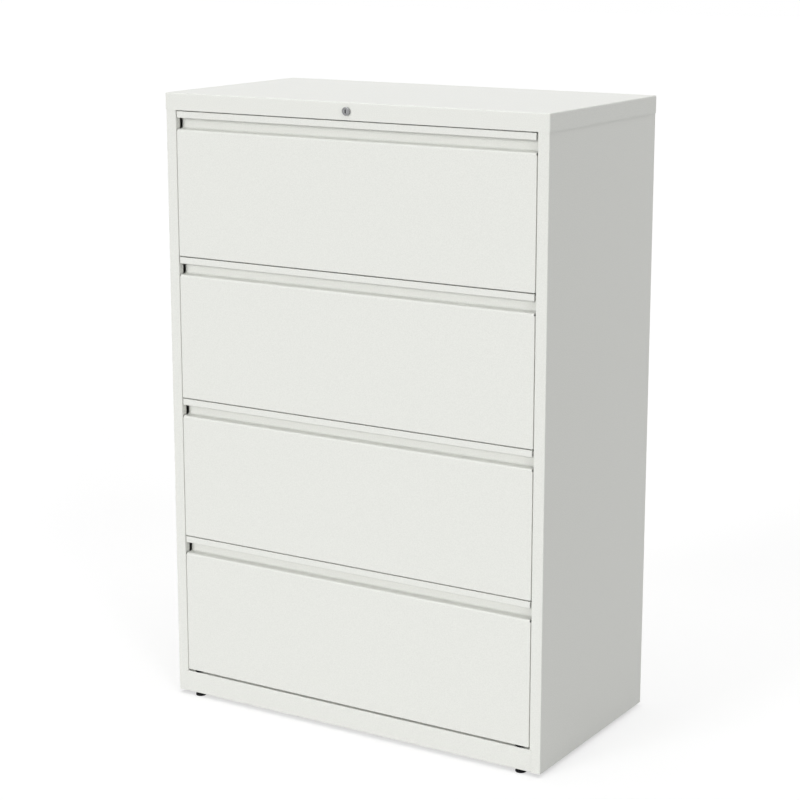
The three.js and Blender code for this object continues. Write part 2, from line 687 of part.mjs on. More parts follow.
function piece(name, solid, material) {
  const mesh = new THREE.Mesh(geometryOf(solid), material);
  mesh.name = name;
  cabinet.add(mesh);
}

piece('left_side_panel', sidePanel(true), offWhite());
piece('right_side_panel', sidePanel(false), offWhite());
piece('back_panel', backPanel(), offWhite());
piece('top_cover', topCover(), offWhite());
piece('base_front_rail', baseFrontRail(), offWhite());
piece('base_rear_rail', baseRearRail(), offWhite());

for (const [side, isLeft] of [['left', true], ['right', false]]) {
  piece(`${side}_front_upright`, upright(isLeft, caseFront + UPRIGHT_FRONT), offWhite());
  piece(`${side}_rear_upright`, upright(isLeft, backInner - UPRIGHT_REAR - UPRIGHT_WIDTH), offWhite());
  const x = isLeft ? -glideX : glideX;
  piece(`${side}_front_glide`, levellingGlide(x, glideFrontY), blackPlastic());
  piece(`${side}_rear_glide`, levellingGlide(x, glideRearY), blackPlastic());
}

for (let drawer = 0; drawer < DRAWER_COUNT; drawer++) {
  const label = drawer + 1;
  piece(`drawer_front_${label}`, drawerFront(drawer), offWhite());
  piece(`drawer_tray_${label}`, drawerTray(drawer), offWhite());
  piece(`hang_rail_${label}`, hangRail(drawer), zincPlate());
  for (const [side, isLeft] of [['left', true], ['right', false]]) {
    for (const kind of Object.keys(slideSections)) {
      piece(`${side}_${kind}_${label}`, slideMember(kind, isLeft, drawer), zincPlate());
    }
  }
}

piece('lock_housing', lockHousing(), lockChrome());
piece('lock_nut', lockNut(), zincPlate());
piece('lock_plug', lockPlug(), lockChrome());
piece('lock_shaft', lockShaft(), zincPlate());
piece('lock_shaft_bracket', shaftBracket(), zincPlate());
piece('lock_bar_guide', lockBarGuide(), zincPlate());
piece('lock_bar', lockBar(), zincPlate());

export default cabinet;
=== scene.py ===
"""A four-drawer lateral filing cabinet in off-white powder coat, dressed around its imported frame.

Metres, +Z up, with the drawers opening towards -Y.
"""

import json
import math

import bmesh
import bpy
from mathutils import Euler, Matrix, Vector


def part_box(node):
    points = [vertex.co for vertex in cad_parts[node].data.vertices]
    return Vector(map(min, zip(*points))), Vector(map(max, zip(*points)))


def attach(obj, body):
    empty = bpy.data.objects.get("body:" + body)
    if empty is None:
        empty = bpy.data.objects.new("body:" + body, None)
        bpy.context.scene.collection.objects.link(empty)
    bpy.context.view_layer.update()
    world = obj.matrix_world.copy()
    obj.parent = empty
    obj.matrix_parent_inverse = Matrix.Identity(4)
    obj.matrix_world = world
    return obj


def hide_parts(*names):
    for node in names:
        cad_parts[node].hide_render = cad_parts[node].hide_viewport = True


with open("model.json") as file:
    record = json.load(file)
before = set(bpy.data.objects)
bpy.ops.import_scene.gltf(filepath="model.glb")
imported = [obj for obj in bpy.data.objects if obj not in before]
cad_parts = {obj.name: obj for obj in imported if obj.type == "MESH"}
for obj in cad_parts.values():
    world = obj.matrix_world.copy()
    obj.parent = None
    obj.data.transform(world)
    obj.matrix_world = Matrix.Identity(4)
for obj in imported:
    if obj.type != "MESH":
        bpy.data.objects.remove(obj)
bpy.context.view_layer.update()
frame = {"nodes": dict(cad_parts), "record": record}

MM = 0.001
MERGE = 0.01 * MM  # points closer than this are one
TOUCH = 0.1 * MM  # points closer than this to a plane lie on it
LONG_EDGE = 100 * MM  # bend lines and panel edges are longer than this, corner edges shorter
DRAWERS = (1, 2, 3, 4)
SIDES = {"left": -1, "right": 1}
PAINT, ZINC, BLACK, CHROME = "off_white_paint", "zinc_plate", "black_plastic", "lock_chrome"

# Sheet and bends
CASE_SHEET = 1.0 * MM
CASE_BEND = 2.2 * MM
DRAWER_SHEET = 0.9 * MM
DRAWER_BEND = 0.5 * MM
DRAWER_EDGE = DRAWER_SHEET + DRAWER_BEND
BEND_ROOM = 0.02 * MM  # kept between two bends that meet
BEND_SEGMENTS = 6
EDGE_SEGMENTS = 2
SMOOTH_ANGLE = math.radians(35)

# Drawer front
PULL_LIP = 14 * MM
PULL_MOUTH = 24 * MM
PULL_DEPTH = 19.5 * MM
PULL_COVE = 4 * MM
LEDGE_RISE = 1.5 * MM
FACE_TOP_BEND = 4.5 * MM
HEM_HEIGHT = 6 * MM
HEM_GAP = 2 * MM
HEM_BEND = 0.9 * MM
FRONT_FLANGE = 22 * MM

# Case
POST_WIDTH = 25.4 * MM
POST_RETURN = 14 * MM
REAR_FLANGE = 22 * MM
BASE_RAIL_LAP = 4.6 * MM
SEAT_GAP = 0.3 * MM
COVER_CORNER = 3.5 * MM
COVER_EDGE = 2.8 * MM
COVER_HEM = 12 * MM

# Lock
LOCK_BARREL = 15 * MM
LOCK_WALL = 1.7 * MM
LOCK_RIM = 2 * MM
BORE_RIM = 0.4 * MM
KEYWAY_WIDTH = 2.8 * MM
KEYWAY_HEIGHT = 8 * MM
KEYWAY_DEPTH = 14 * MM
# Black sheet set just inside the keyway: painted shade that darkens the keyway's inside
SHADE_SHEET_SETBACK = 0.5 * MM
SHADE_SHEET_THICKNESS = 0.8 * MM
SHADE_SHEET_EDGE = 0.2 * MM
TAIL_EDGE = 0.3 * MM
PLUG_OVERHANG = 4 * MM
TAIL_WIDTH = 3 * MM
TAIL_HEIGHT = 9 * MM
ROUND_STEPS = 64

# Fixings
FIXING_SINK = 0.2 * MM
FIXING_STEPS = 24
RIVET_RADIUS = 4 * MM
RIVET_HEIGHT = 1.6 * MM
RIVET_END_ROOM = 30 * MM
WELD_RADIUS = 3 * MM
WELD_HEIGHT = 0.3 * MM
WELD_END_ROOM = 60 * MM
WELDS = 9
SLIDE_SHEET = 1.2 * MM

# Levelling glides
GLIDE_STEM = 8 * MM
GLIDE_RIM = 1 * MM
GLIDE_FOOT_HEIGHT = 5 * MM
GLIDE_SHOULDER = 2 * MM
GLIDE_COLLAR = 2 * MM
GLIDE_SLOPE = 60  # degrees that the foot's rim turns through before its shoulder
WRENCH_HEX = 14 * MM
WRENCH_SIDES = 6
WRENCH_HEIGHT = 2.2 * MM
WRENCH_EDGE = 0.35 * MM

# Colours and roughness, each from the low to the high end of its pattern
PATTERN_LOW = 0.3
PATTERN_HIGH = 0.7
PAINT_TONES = (0.740, 0.748, 0.710), (0.820, 0.828, 0.788)
PAINT_ROUGHNESS = 0.30, 0.38
PAINT_GLOSS = 0.5
ZINC_TONES = (0.43, 0.445, 0.46), (0.50, 0.515, 0.525)
ZINC_ROUGHNESS = 0.26, 0.42
ZINC_STRETCH = (1, 0.02, 1)
BLACK_TONES = (0.004, 0.004, 0.005), (0.009, 0.009, 0.010)
BLACK_ROUGHNESS = 0.48, 0.62
BLACK_GLOSS = 0.2
CHROME_TONES = (0.29, 0.295, 0.30), (0.39, 0.395, 0.40)
CHROME_ROUGHNESS = 0.12, 0.2

# Photograph's view
CAMERA_PLACE = Vector((2.2819, -3.7225, 1.7017))
CAMERA_TURN = math.radians(31.7459)
CAMERA_PITCH = math.radians(-12.2809)
CAMERA_LENS = 93.712
CAMERA_SENSOR = 36.0
CAMERA_SHIFT = -0.04

# Light and floor
AMBIENT = 0.22
KEY_STRENGTH = 1.70
KEY_TOWARDS = (0.346, 0.915, -0.208)
KEY_SPREAD = 24
TOP_STRENGTH = 1.44
TOP_TOWARDS = (0, 0, -1)
TOP_SPREAD = 60
FILL_STRENGTH = 0.62
FILL_TOWARDS = (-0.8, 0.55, -0.2)
FILL_SPREAD = 24
BACK_STRENGTH = 1.3
BACK_TOWARDS = (0.05, -0.99, -0.1)
BACK_SPREAD = 20
CATCH_STRENGTH = 0.2
CATCH_TOWARDS = (-0.62, 0.42, -0.66)
CATCH_SPREAD = 10
FLOOR_REACH = 30
FLOOR_TONE = 0.5
FLOOR_ROUGHNESS = 0.9
FLOOR_LIFT = 0.56


# Finishes

def new_finish(name):
    """A material with a plain Principled shader, and what its nodes are made with."""
    material = bpy.data.materials.new(name)
    material.use_nodes = True
    nodes = material.node_tree.nodes
    return material, nodes, material.node_tree.links, nodes["Principled BSDF"]


def object_noise(nodes, links, scale, detail=2.0, roughness=0.5, stretch=(1, 1, 1)):
    """Noise on the piece's own coordinates, drawn out along an axis where stretch is under 1."""
    place = nodes.new("ShaderNodeTexCoord")
    mapping = nodes.new("ShaderNodeMapping")
    mapping.inputs["Scale"].default_value = stretch
    noise = nodes.new("ShaderNodeTexNoise")
    noise.inputs["Scale"].default_value = scale
    noise.inputs["Detail"].default_value = detail
    noise.inputs["Roughness"].default_value = roughness
    links.new(place.outputs["Object"], mapping.inputs["Vector"])
    links.new(mapping.outputs["Vector"], noise.inputs["Vector"])
    return noise.outputs["Fac"]


def colour_between(nodes, links, factor, low, high):
    """A colour that follows a pattern from low to high."""
    ramp = nodes.new("ShaderNodeValToRGB")
    ramp.color_ramp.elements[0].position = PATTERN_LOW
    ramp.color_ramp.elements[1].position = PATTERN_HIGH
    ramp.color_ramp.elements[0].color = (*low, 1)
    ramp.color_ramp.elements[1].color = (*high, 1)
    links.new(factor, ramp.inputs["Fac"])
    return ramp.outputs["Color"]


def value_between(nodes, links, factor, low, high):
    """A value that follows a pattern from low to high."""
    spread = nodes.new("ShaderNodeMapRange")
    spread.inputs["From Min"].default_value = PATTERN_LOW
    spread.inputs["From Max"].default_value = PATTERN_HIGH
    spread.inputs["To Min"].default_value = low
    spread.inputs["To Max"].default_value = high
    links.new(factor, spread.inputs["Value"])
    return spread.outputs["Result"]


def raised(nodes, links, height, strength, depth, under=None):
    """A bump of the given depth, over another one if there is one."""
    bump = nodes.new("ShaderNodeBump")
    bump.inputs["Strength"].default_value = strength
    bump.inputs["Distance"].default_value = depth
    links.new(height, bump.inputs["Height"])
    if under is not None:
        links.new(under, bump.inputs["Normal"])
    return bump.outputs["Normal"]


def powder_coat():
    """Off-white satin powder coat: a fine grain in colour and surface over a slight orange peel."""
    material, nodes, links, shader = new_finish("off_white_powder_coat")
    grain = object_noise(nodes, links, scale=520, detail=3, roughness=0.6)
    peel = object_noise(nodes, links, scale=190)
    colour = colour_between(nodes, links, grain, *PAINT_TONES)
    soft = raised(nodes, links, peel, strength=0.10, depth=0.4 * MM)
    normal = raised(nodes, links, grain, strength=0.12, depth=0.25 * MM, under=soft)
    links.new(colour, shader.inputs["Base Color"])
    links.new(value_between(nodes, links, peel, *PAINT_ROUGHNESS), shader.inputs["Roughness"])
    links.new(normal, shader.inputs["Normal"])
    shader.inputs["Specular IOR Level"].default_value = PAINT_GLOSS
    return material


def zinc_plate():
    """Bright zinc on rolled sheet: drawn lines along the run, with cloudy patches."""
    material, nodes, links, shader = new_finish("zinc_plated_sheet")
    drawn = object_noise(nodes, links, scale=900, stretch=ZINC_STRETCH)
    cloud = object_noise(nodes, links, scale=35, detail=4, roughness=0.6)
    colour = colour_between(nodes, links, cloud, *ZINC_TONES)
    normal = raised(nodes, links, drawn, strength=0.08, depth=0.2 * MM)
    links.new(colour, shader.inputs["Base Color"])
    links.new(value_between(nodes, links, drawn, *ZINC_ROUGHNESS), shader.inputs["Roughness"])
    links.new(normal, shader.inputs["Normal"])
    shader.inputs["Metallic"].default_value = 1.0
    return material


def moulded_black():
    """Black moulded plastic with a faint spark-eroded grain."""
    material, nodes, links, shader = new_finish("moulded_black_plastic")
    grain = object_noise(nodes, links, scale=1500)
    colour = colour_between(nodes, links, grain, *BLACK_TONES)
    normal = raised(nodes, links, grain, strength=0.2, depth=0.2 * MM)
    links.new(colour, shader.inputs["Base Color"])
    links.new(value_between(nodes, links, grain, *BLACK_ROUGHNESS), shader.inputs["Roughness"])
    links.new(normal, shader.inputs["Normal"])
    shader.inputs["Specular IOR Level"].default_value = BLACK_GLOSS
    return material


def satin_chrome():
    """Satin chrome on the lock, with a fine matt grain."""
    material, nodes, links, shader = new_finish("satin_chrome")
    marks = object_noise(nodes, links, scale=2600, detail=3, roughness=0.6)
    colour = colour_between(nodes, links, marks, *CHROME_TONES)
    normal = raised(nodes, links, marks, strength=0.15, depth=0.1 * MM)
    links.new(colour, shader.inputs["Base Color"])
    links.new(value_between(nodes, links, marks, *CHROME_ROUGHNESS), shader.inputs["Roughness"])
    links.new(normal, shader.inputs["Normal"])
    shader.inputs["Metallic"].default_value = 1.0
    return material


FINISHES = {PAINT: powder_coat(), ZINC: zinc_plate(), BLACK: moulded_black(), CHROME: satin_chrome()}


# Mesh helpers

def piece(name, shape, slot, body, *nodes, sheet=0.0):
    """Makes a named piece of a bmesh, in its slot's finish, on its body, in place of CAD nodes."""
    mesh = bpy.data.meshes.new(name)
    shape.to_mesh(mesh)
    shape.free()
    mesh.materials.append(FINISHES[slot])
    mesh.shade_smooth()
    mesh.set_sharp_from_angle(angle=SMOOTH_ANGLE)
    made = bpy.data.objects.new(name, mesh)
    bpy.context.scene.collection.objects.link(made)
    if sheet:
        wall = made.modifiers.new("sheet", "SOLIDIFY")
        wall.thickness = sheet
        wall.offset = -1
        wall.use_even_offset = True
        wall.use_quality_normals = True
    flat = made.modifiers.new("flat_faces", "WEIGHTED_NORMAL")
    flat.mode = "FACE_AREA"
    flat.weight = 100
    flat.keep_sharp = True
    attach(made, body)
    if nodes:
        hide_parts(*nodes)


def facing(shape, outward):
    """Turns the sheet's faces so that the largest one looks outward."""
    shape.normal_update()
    largest = max(shape.faces, key=lambda face: face.calc_area())
    if largest.normal.dot(outward) < 0:
        bmesh.ops.reverse_faces(shape, faces=shape.faces[:])
    shape.normal_update()


def block(low, high):
    """A block between two corners."""
    low, high = Vector(low), Vector(high)
    shape = bmesh.new()
    bmesh.ops.create_cube(shape, size=1)
    bmesh.ops.scale(shape, vec=high - low, verts=shape.verts[:])
    bmesh.ops.translate(shape, vec=(low + high) / 2, verts=shape.verts[:])
    return shape


def verts_of(geom):
    """The vertices among what an operator made."""
    return [item for item in geom if isinstance(item, bmesh.types.BMVert)]


def cut(shape, place, normal):
    """Cuts every face of a shape along a plane, and keeps both sides."""
    everything = shape.verts[:] + shape.edges[:] + shape.faces[:]
    bmesh.ops.bisect_plane(shape, geom=everything, plane_co=place, plane_no=normal)


def fold(shape, points, run):
    """A sheet along a line of points, drawn out by run. Returns the edges at the inner points."""
    line = [shape.verts.new(point) for point in points]
    edges = [shape.edges.new(pair) for pair in zip(line, line[1:])]
    drawn = bmesh.ops.extrude_edge_only(shape, edges=edges)["geom"]
    bmesh.ops.translate(shape, verts=verts_of(drawn), vec=run)
    inner = line[1:-1]
    return [next(edge for edge in vert.link_edges if len(edge.link_faces) == 2) for vert in inner]


def round_bends(shape, edges, radius, segments=BEND_SEGMENTS):
    """Rounds bend lines to a radius."""
    bmesh.ops.bevel(
        shape, geom=edges, offset=radius, offset_type="OFFSET", affect="EDGES",
        segments=segments, profile=0.5, material=-1, clamp_overlap=False,
    )


def turned(profile, axis, *centres, steps=ROUND_STEPS):
    """Closed turned shapes: a line of (radius, height) points spun round an axis at each centre."""
    shape = bmesh.new()
    across = Vector((0, 1, 0)) if axis.x else Vector((1, 0, 0))
    for centre in centres:
        places = [centre + across * radius + axis * height for radius, height in profile]
        line = [shape.verts.new(place) for place in places]
        edges = [shape.edges.new(pair) for pair in zip(line, line[1:])]
        bmesh.ops.spin(
            shape, geom=line + edges, cent=centre, axis=axis,
            angle=2 * math.pi, steps=steps, use_merge=True,
        )
    bmesh.ops.remove_doubles(shape, verts=shape.verts[:], dist=MERGE)
    bmesh.ops.recalc_face_normals(shape, faces=shape.faces[:])
    return shape


def arc(centre, radius, start, end, steps=BEND_SEGMENTS):
    """Points on an arc in a turned profile, by angle in degrees."""
    angles = [math.radians(start + (end - start) * step / steps) for step in range(steps + 1)]
    return [(centre[0] + radius * math.cos(a), centre[1] + radius * math.sin(a)) for a in angles]


# Case

def side_panel(side, sign):
    """Post return, post, side and rear flange in one folded sheet, notched for the base rail."""
    low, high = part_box(f"{side}_side_panel")
    outer = high.x if sign > 0 else -low.x
    opening = outer - POST_WIDTH
    points = [
        Vector((sign * opening, low.y + POST_RETURN, low.z)),
        Vector((sign * opening, low.y, low.z)),
        Vector((sign * outer, low.y, low.z)),
        Vector((sign * outer, high.y, low.z)),
        Vector((sign * (outer - REAR_FLANGE), high.y, low.z)),
    ]
    shape = bmesh.new()
    bends = fold(shape, points, Vector((0, 0, high.z - low.z)))
    notch_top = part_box("base_front_rail")[1].z + SEAT_GAP
    notch_edge = sign * (opening + BASE_RAIL_LAP)
    round_bends(shape, bends, CASE_BEND)
    cut(shape, Vector((0, 0, notch_top)), (0, 0, 1))
    cut(shape, Vector((notch_edge, 0, 0)), (1, 0, 0))
    notch = []
    for face in shape.faces:
        middle = face.calc_center_median()
        in_front = middle.y < low.y + POST_RETURN
        if in_front and middle.z < notch_top and abs(middle.x) < abs(notch_edge):
            notch.append(face)
    bmesh.ops.delete(shape, geom=notch, context="FACES")
    facing(shape, Vector((sign, 0, 0)))
    piece(f"{side}_side", shape, PAINT, "cabinet", f"{side}_side_panel", sheet=CASE_SHEET)


def top_cover():
    """A pressed cover with a skirt all round and a hem under its front edge."""
    low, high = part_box("top_cover")
    shape = block(low, high)
    bottom = [face for face in shape.faces if face.normal.z < -0.5]
    bmesh.ops.delete(shape, geom=bottom, context="FACES_ONLY")
    corners = [edge for edge in shape.edges if abs(edge.verts[0].co.z - edge.verts[1].co.z) > MM]
    round_bends(shape, corners, COVER_CORNER)
    rim = [
        edge for edge in shape.edges
        if len(edge.link_faces) == 2 and min(vert.co.z for vert in edge.verts) > high.z - MM
    ]
    round_bends(shape, rim, COVER_EDGE)
    front = [
        edge for edge in shape.edges
        if edge.is_boundary and edge.calc_length() > LONG_EDGE
        and max(vert.co.y for vert in edge.verts) < low.y + MM
    ]
    drawn = bmesh.ops.extrude_edge_only(shape, edges=front)["geom"]
    bmesh.ops.translate(shape, verts=verts_of(drawn), vec=Vector((0, COVER_HEM, 0)))
    facing(shape, Vector((0, 0, 1)))
    piece("cover", shape, PAINT, "cabinet", "top_cover", sheet=CASE_SHEET)


def base_front_rail():
    """A channel across the foot of the front, open to the back."""
    low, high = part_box("base_front_rail")
    points = [
        Vector((low.x, high.y, high.z)),
        Vector((low.x, low.y, high.z)),
        Vector((low.x, low.y, low.z)),
        Vector((low.x, high.y, low.z)),
    ]
    shape = bmesh.new()
    round_bends(shape, fold(shape, points, Vector((high.x - low.x, 0, 0))), CASE_BEND)
    facing(shape, Vector((0, -1, 0)))
    piece("base_rail", shape, PAINT, "cabinet", "base_front_rail", sheet=CASE_SHEET)


def levelling_glide(name):
    """A moulded foot on a stem, with wrench flats over the foot and a round top over the base rail."""
    low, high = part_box(name)
    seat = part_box("base_front_rail")[1].z + SEAT_GAP
    centre = Vector(((low.x + high.x) / 2, (low.y + high.y) / 2, 0))
    foot, stem = (high.x - low.x) / 2, GLIDE_STEM / 2
    rim = foot - GLIDE_RIM
    profile = [(0, 0)]
    profile += arc((rim, GLIDE_RIM), GLIDE_RIM, -90, 0)
    profile += arc((rim, GLIDE_FOOT_HEIGHT - GLIDE_SHOULDER), GLIDE_RIM, 0, GLIDE_SLOPE)
    profile += [(stem + GLIDE_COLLAR, GLIDE_FOOT_HEIGHT), (stem, GLIDE_FOOT_HEIGHT)]
    profile += [(stem, seat), (foot, seat)]
    profile += arc((rim, high.z - GLIDE_RIM), GLIDE_RIM, 0, 90)
    profile += [(0, high.z)]
    piece(f"{name}_moulding", turned(profile, Vector((0, 0, 1)), centre), BLACK, name, name)
    flats = bmesh.new()
    corner = WRENCH_HEX / math.sqrt(3)
    bmesh.ops.create_circle(flats, cap_ends=True, radius=corner, segments=WRENCH_SIDES)
    drawn = bmesh.ops.extrude_face_region(flats, geom=flats.faces[:])["geom"]
    bmesh.ops.translate(flats, verts=verts_of(drawn), vec=(0, 0, WRENCH_HEIGHT))
    on_foot = centre + Vector((0, 0, GLIDE_FOOT_HEIGHT - FIXING_SINK))
    bmesh.ops.translate(flats, verts=flats.verts[:], vec=on_foot)
    bmesh.ops.recalc_face_normals(flats, faces=flats.faces[:])
    round_bends(flats, flats.edges[:], WRENCH_EDGE, EDGE_SEGMENTS)
    piece(f"{name}_wrench_flats", flats, BLACK, name)


# Drawers

def drawer_front(number):
    """One folded sheet with folded sides: hem, strip, top, back of the pull, ledge, face and flange."""
    node, body = f"drawer_front_{number}", f"drawer_{number}"
    low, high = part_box(node)
    front, back = low.y, low.y + PULL_DEPTH
    flange_back = back + DRAWER_SHEET
    strip_bottom = high.z - PULL_LIP
    face_top = strip_bottom - PULL_MOUTH
    strip_back = front + DRAWER_SHEET
    under_top = high.z - DRAWER_SHEET
    hem_bottom = strip_bottom + DRAWER_SHEET
    left = low.x + DRAWER_EDGE
    section = [
        (strip_back + HEM_GAP, hem_bottom + HEM_HEIGHT, 0),
        (strip_back + HEM_GAP, hem_bottom, HEM_BEND),
        (strip_back, hem_bottom, HEM_BEND),
        (strip_back, under_top, DRAWER_BEND),
        (back, under_top, DRAWER_BEND),
        (back, face_top + LEDGE_RISE, PULL_COVE),
        (front, face_top, FACE_TOP_BEND),
        (front, low.z, DRAWER_EDGE),
        (flange_back, low.z, DRAWER_EDGE),
        (flange_back, low.z + FRONT_FLANGE, 0),
    ]
    shape = bmesh.new()
    points = [Vector((left, y, z)) for y, z, _ in section]
    bends = fold(shape, points, Vector((-2 * left, 0, 0)))
    for bend, (_, _, radius) in zip(bends, section[1:-1]):
        round_bends(shape, [bend], radius)
    for sign in SIDES.values():
        folded_side(shape, sign, -left, front, flange_back - front)
    facing(shape, Vector((0, -1, 0)))
    piece(f"drawer_{number}_pull_front", shape, PAINT, body, node, sheet=DRAWER_SHEET)


def folded_side(shape, sign, half, front, depth):
    """Folds the face's side edge round to the back."""
    edges = [
        edge for edge in shape.edges
        if edge.is_boundary and edge.calc_length() > LONG_EDGE
        and all(abs(vert.co.x - sign * half) < TOUCH for vert in edge.verts)
        and all(abs(vert.co.y - front) < TOUCH for vert in edge.verts)
    ]
    bends = []
    for step in ((sign * DRAWER_EDGE, 0, 0), (0, depth, 0), (-sign * FRONT_FLANGE, 0, 0)):
        drawn = bmesh.ops.extrude_edge_only(shape, edges=edges)["geom"]
        bmesh.ops.translate(shape, verts=verts_of(drawn), vec=step)
        edges = [
            item for item in drawn if isinstance(item, bmesh.types.BMEdge)
            and abs(item.verts[0].co.z - item.verts[1].co.z) > LONG_EDGE
        ]
        bends.append(edges[0])
    round_bends(shape, bends[:2], DRAWER_EDGE - BEND_ROOM)


# Fixings

def low_heads(name, slot, body, radius, height, axis, centres):
    """Low domed heads standing out from a surface."""
    quarter = [math.radians(90 * step / BEND_SEGMENTS) for step in range(BEND_SEGMENTS + 1)]
    profile = [(0, -FIXING_SINK), (radius, -FIXING_SINK)]
    profile += [(radius * math.cos(angle), height * math.sin(angle)) for angle in quarter]
    piece(name, turned(profile, axis, *centres, steps=FIXING_STEPS), slot, body)


def slide_rivets(side, sign, number):
    """Rivets that hold a drawer rail to the tray, each with a head on the rail and one in the tray."""
    low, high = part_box(f"{side}_drawer_rail_{number}")
    web = min(abs(low.x), abs(high.x))
    inside = web - SEAT_GAP - DRAWER_SHEET
    level = (low.z + high.z) / 2
    along = (low.y + RIVET_END_ROOM, (low.y + high.y) / 2, high.y - RIVET_END_ROOM)
    out = Vector((sign, 0, 0))
    for head, reach, way in (("rail", web + SLIDE_SHEET, out), ("tray", inside, -out)):
        centres = [Vector((sign * reach, y, level)) for y in along]
        name = f"drawer_{number}_{side}_{head}_rivets"
        low_heads(name, ZINC, f"drawer_{number}", RIVET_RADIUS, RIVET_HEIGHT, way, centres)


def flange_welds(side, sign):
    """Spot welds down the rear flange of a side panel, under the paint."""
    low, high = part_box(f"{side}_side_panel")
    across = sign * (max(abs(low.x), abs(high.x)) - REAR_FLANGE / 2)
    bottom = low.z + WELD_END_ROOM
    step = (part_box("top_cover")[0].z - WELD_END_ROOM - bottom) / (WELDS - 1)
    centres = [Vector((across, high.y, bottom + step * count)) for count in range(WELDS)]
    out = Vector((0, 1, 0))
    low_heads(f"{side}_flange_welds", PAINT, "cabinet", WELD_RADIUS, WELD_HEIGHT, out, centres)


# Lock

def lock_bezel():
    """The lock's round bezel with a rounded rim, and its barrel."""
    low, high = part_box("lock_housing")
    centre = Vector((0, 0, (low.z + high.z) / 2))
    reach = (high.x - low.x) / 2
    barrel = LOCK_BARREL / 2
    bore = barrel - LOCK_WALL
    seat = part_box("top_cover")[0].y - SEAT_GAP
    profile = [(bore, high.y)]
    profile += arc((bore + BORE_RIM, low.y + BORE_RIM), BORE_RIM, 180, 270)
    profile += arc((reach - LOCK_RIM, low.y + LOCK_RIM), LOCK_RIM, 270, 360)
    profile += [(reach, seat), (barrel, seat), (barrel, high.y), (bore, high.y)]
    shape = turned(profile, Vector((0, 1, 0)), centre)
    piece("lock_bezel", shape, CHROME, "cabinet", "lock_housing")


def lock_plug_face():
    """The plug: a round body with a keyway in its face, a black sheet set in the keyway as painted
    shade, and a flat tail behind.
    """
    low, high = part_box("lock_plug")
    radius = LOCK_BARREL / 2 - LOCK_WALL - SEAT_GAP
    middle = (low.z + high.z) / 2
    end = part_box("lock_housing")[1].y + PLUG_OVERHANG
    shape = bmesh.new()
    bmesh.ops.create_circle(shape, cap_ends=True, radius=radius, segments=ROUND_STEPS)
    bmesh.ops.rotate(shape, verts=shape.verts[:], matrix=Euler((math.pi / 2, 0, 0)).to_matrix())
    centre = Vector((0, low.y, middle))
    bmesh.ops.translate(shape, verts=shape.verts[:], vec=centre)
    for way in (1, -1):
        cut(shape, (way * KEYWAY_WIDTH / 2, 0, 0), (1, 0, 0))
    for way in (1, -1):
        cut(shape, (0, 0, middle + way * KEYWAY_HEIGHT / 2), (0, 0, 1))
    keyway = min(shape.faces, key=lambda face: (face.calc_center_median() - centre).length)
    inner = bmesh.ops.extrude_face_region(shape, geom=[keyway])["geom"]
    bmesh.ops.translate(shape, verts=verts_of(inner), vec=Vector((0, KEYWAY_DEPTH, 0)))
    bmesh.ops.delete(shape, geom=[keyway], context="FACES_ONLY")
    rim = [edge for edge in shape.edges if edge.is_boundary]
    drawn = bmesh.ops.extrude_edge_only(shape, edges=rim)["geom"]
    bmesh.ops.translate(shape, verts=verts_of(drawn), vec=Vector((0, end - low.y, 0)))
    bmesh.ops.holes_fill(shape, edges=[edge for edge in shape.edges if edge.is_boundary], sides=0)
    bmesh.ops.recalc_face_normals(shape, faces=shape.faces[:])
    piece("lock_plug_face", shape, CHROME, "lock", "lock_plug")
    tail = block(
        (-TAIL_WIDTH / 2, end, middle - TAIL_HEIGHT / 2),
        (TAIL_WIDTH / 2, high.y, middle + TAIL_HEIGHT / 2),
    )
    round_bends(tail, tail.edges[:], TAIL_EDGE, EDGE_SEGMENTS)
    piece("lock_plug_tail", tail, CHROME, "lock")
    # A black sheet just inside the keyway: painted shade, darkening the keyway's inside
    keyway_shade_sheet = block(
        (-KEYWAY_WIDTH / 2, low.y + SHADE_SHEET_SETBACK, middle - KEYWAY_HEIGHT / 2),
        (KEYWAY_WIDTH / 2, low.y + SHADE_SHEET_SETBACK + SHADE_SHEET_THICKNESS, middle + KEYWAY_HEIGHT / 2),
    )
    round_bends(keyway_shade_sheet, keyway_shade_sheet.edges[:], SHADE_SHEET_EDGE, EDGE_SEGMENTS)
    piece("keyway_painted_shade", keyway_shade_sheet, BLACK, "lock")


for side, sign in SIDES.items():
    side_panel(side, sign)
    flange_welds(side, sign)
    for end in ("front", "rear"):
        levelling_glide(f"{side}_{end}_glide")
top_cover()
base_front_rail()
for number in DRAWERS:
    drawer_front(number)
    for side, sign in SIDES.items():
        slide_rivets(side, sign, number)
lock_bezel()
lock_plug_face()

# Finishes of the frame's own nodes
for subpart in frame["record"]["subparts"]:
    node = frame["nodes"][subpart["node"]]
    node.data.materials.clear()
    node.data.materials.append(FINISHES[subpart["material_slot"]])


# Stage

def seen_rays(nodes, links):
    """1 for rays that are seen, straight or mirrored, and 0 for rays that only light the object."""
    path = nodes.new("ShaderNodeLightPath")
    seen = path.outputs["Is Camera Ray"]
    for ray in ("Is Glossy Ray", "Is Transmission Ray"):
        either = nodes.new("ShaderNodeMath")
        either.operation = "MAXIMUM"
        links.new(seen, either.inputs[0])
        links.new(path.outputs[ray], either.inputs[1])
        seen = either.outputs[0]
    return seen


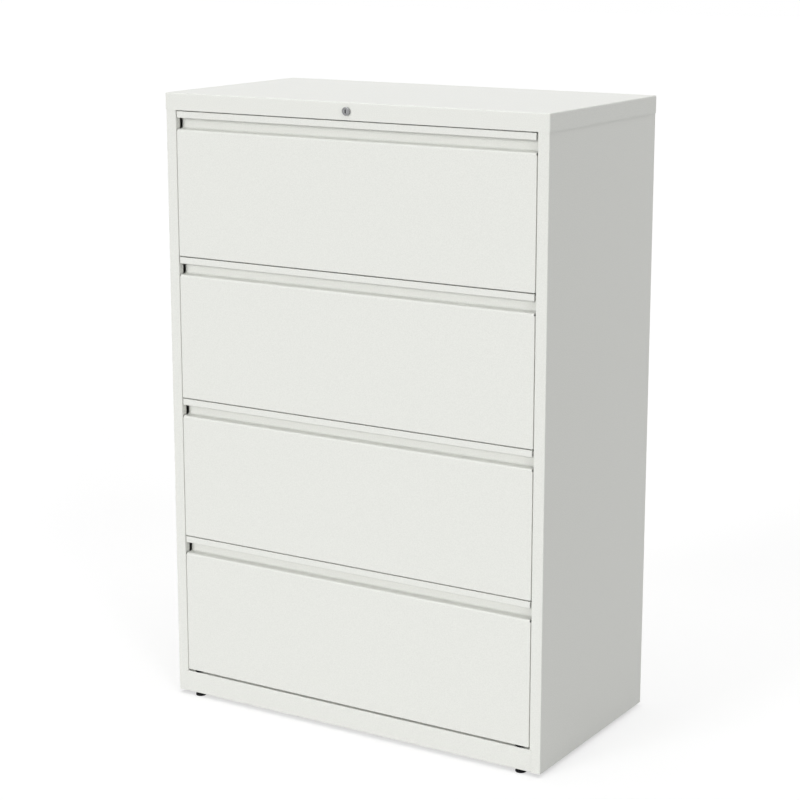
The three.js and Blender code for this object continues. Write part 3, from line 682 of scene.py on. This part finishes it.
def pale_floor():
    """A wide pale floor that keeps the cabinet's shadow."""
    shape = bmesh.new()
    bmesh.ops.create_grid(shape, x_segments=1, y_segments=1, size=FLOOR_REACH)
    mesh = bpy.data.meshes.new("floor")
    shape.to_mesh(mesh)
    shape.free()
    floor = bpy.data.objects.new("floor", mesh)
    bpy.context.scene.collection.objects.link(floor)
    material, nodes, links, shader = new_finish("pale_floor")
    shader.inputs["Base Color"].default_value = (FLOOR_TONE, FLOOR_TONE, FLOOR_TONE, 1)
    shader.inputs["Roughness"].default_value = FLOOR_ROUGHNESS
    shader.inputs["Specular IOR Level"].default_value = 0.0
    shader.inputs["Emission Color"].default_value = (1, 1, 1, 1)
    lift = nodes.new("ShaderNodeMath")
    lift.operation = "MULTIPLY"
    lift.inputs[1].default_value = FLOOR_LIFT
    links.new(seen_rays(nodes, links), lift.inputs[0])
    links.new(lift.outputs[0], shader.inputs["Emission Strength"])
    mesh.materials.append(material)


def studio_world():
    """Even soft light, with white behind the object wherever it is seen or mirrored."""
    world = bpy.data.worlds.new("studio")
    world.use_nodes = True
    bpy.context.scene.world = world
    nodes, links = world.node_tree.nodes, world.node_tree.links
    nodes.clear()
    soft = nodes.new("ShaderNodeBackground")
    soft.inputs["Color"].default_value = (1, 1, 1, 1)
    soft.inputs["Strength"].default_value = AMBIENT
    white = nodes.new("ShaderNodeBackground")
    white.inputs["Color"].default_value = (1, 1, 1, 1)
    white.inputs["Strength"].default_value = 1.0
    mix = nodes.new("ShaderNodeMixShader")
    output = nodes.new("ShaderNodeOutputWorld")
    links.new(seen_rays(nodes, links), mix.inputs["Fac"])
    links.new(soft.outputs[0], mix.inputs[1])
    links.new(white.outputs[0], mix.inputs[2])
    links.new(mix.outputs[0], output.inputs["Surface"])


def soft_lamp(name, towards, strength, spread, mirrored):
    """A broad even lamp shining along a direction, which glossy surfaces mirror or not."""
    lamp = bpy.data.lights.new(name, "SUN")
    lamp.energy = strength
    lamp.angle = math.radians(spread)
    made = bpy.data.objects.new(name, lamp)
    made.rotation_mode = "QUATERNION"
    made.rotation_quaternion = Vector(towards).to_track_quat("-Z", "Y")
    made.visible_glossy = mirrored
    bpy.context.scene.collection.objects.link(made)


def photograph_camera():
    """The camera at the photograph's view."""
    data = bpy.data.cameras.new("camera")
    data.lens = CAMERA_LENS
    data.sensor_width = CAMERA_SENSOR
    data.shift_y = CAMERA_SHIFT
    camera = bpy.data.objects.new("camera", data)
    camera.location = CAMERA_PLACE
    camera.rotation_euler = Euler((math.pi / 2 + CAMERA_PITCH, 0, CAMERA_TURN))
    bpy.context.scene.collection.objects.link(camera)
    bpy.context.scene.camera = camera


pale_floor()
studio_world()
soft_lamp("key_lamp", KEY_TOWARDS, KEY_STRENGTH, KEY_SPREAD, mirrored=False)
soft_lamp("top_lamp", TOP_TOWARDS, TOP_STRENGTH, TOP_SPREAD, mirrored=True)
soft_lamp("fill_lamp", FILL_TOWARDS, FILL_STRENGTH, FILL_SPREAD, mirrored=False)
soft_lamp("back_lamp", BACK_TOWARDS, BACK_STRENGTH, BACK_SPREAD, mirrored=False)
soft_lamp("catch_lamp", CATCH_TOWARDS, CATCH_STRENGTH, CATCH_SPREAD, mirrored=True)
photograph_camera()
bpy.context.scene.view_settings.view_transform = "Standard"
